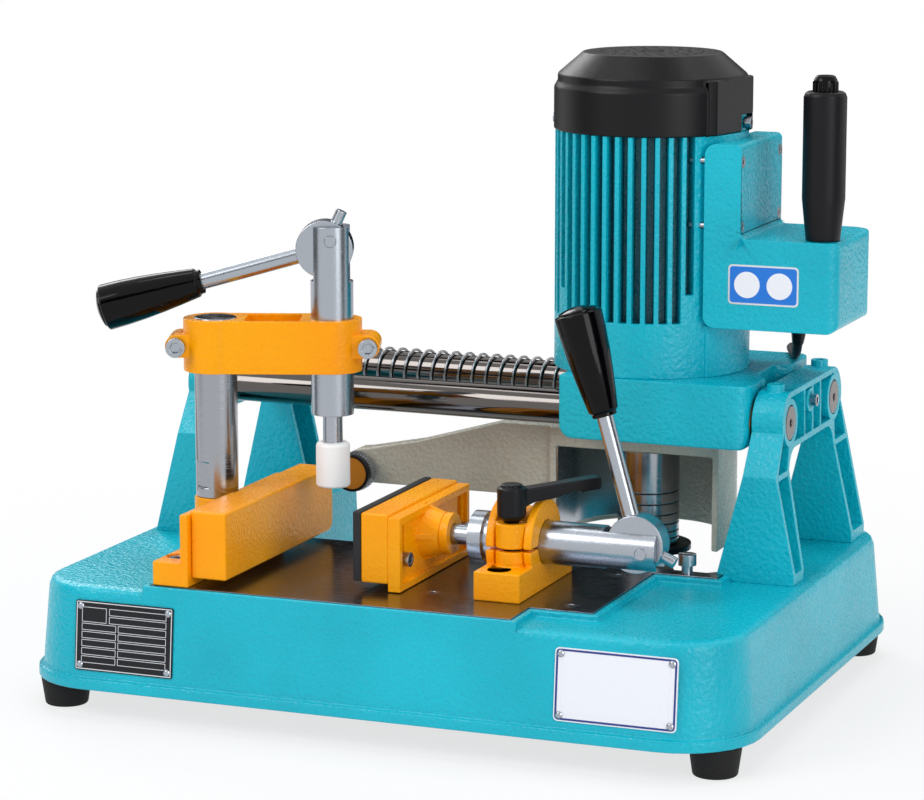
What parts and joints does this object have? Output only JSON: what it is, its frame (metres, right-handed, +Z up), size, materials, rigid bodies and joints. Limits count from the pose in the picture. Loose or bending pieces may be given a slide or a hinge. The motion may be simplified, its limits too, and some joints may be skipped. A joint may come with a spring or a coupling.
{
  "type": "portable end-milling machine for window profiles",
  "caption": "Bench end-milling machine: cast base, sliding motor head on guide bars, tapered grip, pushing vice with cam lever and overhead cam clamp.",
  "frame": {"origin": "on the bench under the middle of the base casting", "axes": "+X along the base from the fixed jaw to the motor, +Y to the back, +Z up"},
  "size_m": [0.53, 0.5284, 0.4526],
  "materials": {
    "teal_paint": "hammered semi-gloss",
    "orange_paint": "textured semi-gloss",
    "ground_steel": "ground",
    "zinc": "zinc plated",
    "chrome": "hard chrome, polished",
    "spring_steel": "bright",
    "black_steel": "black oxide",
    "black_plastic": "fine texture",
    "gloss_black": "polished",
    "nylon": "satin",
    "rubber": "matt",
    "grey_paint": "hammered",
    "bronze": "turned",
    "laminations": "stacked sheet and windings",
    "plate_black": "anodised plate",
    "plate_white": "enamelled plate",
    "label_blue": "printed film",
    "can": "drawn can"
  },
  "bodies": {
    "base": {"base_casting": "teal_paint", "table_plate": "ground_steel", "table_screws": "zinc", "rubber_feet": "rubber", "left_bracket": "teal_paint", "right_bracket": "teal_paint", "frame_bolts": "zinc", "bar_set_screws": "zinc", "front_guide_bar": "chrome", "rear_guide_bar": "chrome", "return_spring": "spring_steel", "fixed_jaw_bracket": "orange_paint", "fixed_jaw_block": "orange_paint", "clamp_column": "chrome", "clamp_block": "orange_paint", "rating_plate": "plate_black", "front_badge": "plate_white", "plate_rivets": "zinc", "mains_cord": "rubber", "cord_coil": "rubber", "mains_plug": "black_plastic"},
    "carriage": {"carriage_casting": "teal_paint", "linear_bushes": "bronze", "motor_housing": "teal_paint", "stator": "laminations", "motor_end_shield": "can", "motor_bearings": "ground_steel", "fan_cowl": "black_plastic", "carriage_screws": "zinc", "control_box": "teal_paint", "run_capacitor": "can", "grip_tube": "zinc", "hand_grip": "rubber", "cable_gland": "black_plastic", "box_label": "label_blue", "chip_guard": "grey_paint", "guard_liner": "zinc"},
    "spindle": {"arbor_shaft": "ground_steel", "rotor_core": "laminations", "cooling_fan": "black_plastic", "spacer_rings": "ground_steel", "end_flange": "black_steel"},
    "button": {"push_button": "black_plastic"},
    "stop": {"end_stop": "zinc"},
    "arm": {"clamp_arm": "orange_paint", "arm_screws": "zinc"},
    "upper_tube": {"upper_clamp_tube": "zinc"},
    "upper_lever": {"upper_cam_lever": "zinc", "upper_lever_knob": "gloss_black"},
    "upper_push": {"upper_plunger": "zinc", "nylon_pad": "nylon"},
    "lower_tube": {"lower_clamp_tube": "zinc"},
    "lower_lever": {"lower_cam_lever": "zinc", "lower_lever_knob": "gloss_black"},
    "push_jaw": {"lower_plunger": "zinc", "push_plate": "orange_paint"},
    "jaw_front": {"jaw_pad": "orange_paint", "rubber_face": "rubber", "jaw_pad_screws": "zinc"},
    "lock": {"lock_lever": "black_plastic"}
  },
  "joints": [
    {"name": "carriage_slide", "type": "slide", "parent": "base", "child": "carriage", "axis": [-1, 0, 0], "range_m": [0, 0.2], "stiffness_N_per_m": 60, "springref_m": -0.15, "deforming": ["return_spring", "mains_cord"]},
    {"name": "spindle_spin", "type": "hinge", "parent": "carriage", "child": "spindle", "pos_m": [0.112, 0.065, 0.15], "axis": [0, 0, 1], "continuous": true},
    {"name": "button_press", "type": "slide", "parent": "carriage", "child": "button", "axis": [0, 0, -1], "range_m": [0, 0.003], "stiffness_N_per_m": 600, "springref_m": -0.001},
    {"name": "stop_adjust", "type": "slide", "parent": "carriage", "child": "stop", "axis": [0, 1, 0], "range_m": [-0.003, 0.003]},
    {"name": "arm_swing", "type": "hinge", "parent": "base", "child": "arm", "pos_m": [-0.15, -0.11, 0.253], "axis": [0, 0, 1], "range_deg": [-60, 25]},
    {"name": "upper_tube_height", "type": "slide", "parent": "arm", "child": "upper_tube", "axis": [0, 0, 1], "range_m": [-0.008, 0.025]},
    {"name": "upper_lever_turn", "type": "hinge", "parent": "upper_tube", "child": "upper_lever", "pos_m": [-0.07294, -0.08195, 0.3272], "axis": [-0.342, 0.9397, 0], "range_deg": [0, 105]},
    {"name": "upper_push_slide", "type": "slide", "parent": "upper_tube", "child": "upper_push", "axis": [0, 0, 1], "range_m": [0, 0.0128]},
    {"name": "lower_tube_slide", "type": "slide", "parent": "base", "child": "lower_tube", "axis": [1, 0, 0], "range_m": [-0.03, 0.008]},
    {"name": "lower_lever_turn", "type": "hinge", "parent": "lower_tube", "child": "lower_lever", "pos_m": [0.1685, -0.104, 0.13], "axis": [0, 1, 0], "range_deg": [0, 105]},
    {"name": "push_jaw_slide", "type": "slide", "parent": "lower_tube", "child": "push_jaw", "axis": [1, 0, 0], "range_m": [0, 0.0128]},
    {"name": "jaw_height", "type": "slide", "parent": "push_jaw", "child": "jaw_front", "axis": [0, 0, 1], "range_m": [0, 0.02]},
    {"name": "lock_lever_turn", "type": "hinge", "parent": "base", "child": "lock", "pos_m": [0.0793, -0.127, 0.147], "axis": [0, 0, 1], "range_deg": [-100, 25]}
  ],
  "couplings": [
    {"joint": "upper_push_slide", "follows": "upper_lever_turn", "m_per_rad": 0.00693},
    {"joint": "push_jaw_slide", "follows": "lower_lever_turn", "m_per_rad": 0.00693}
  ]
}
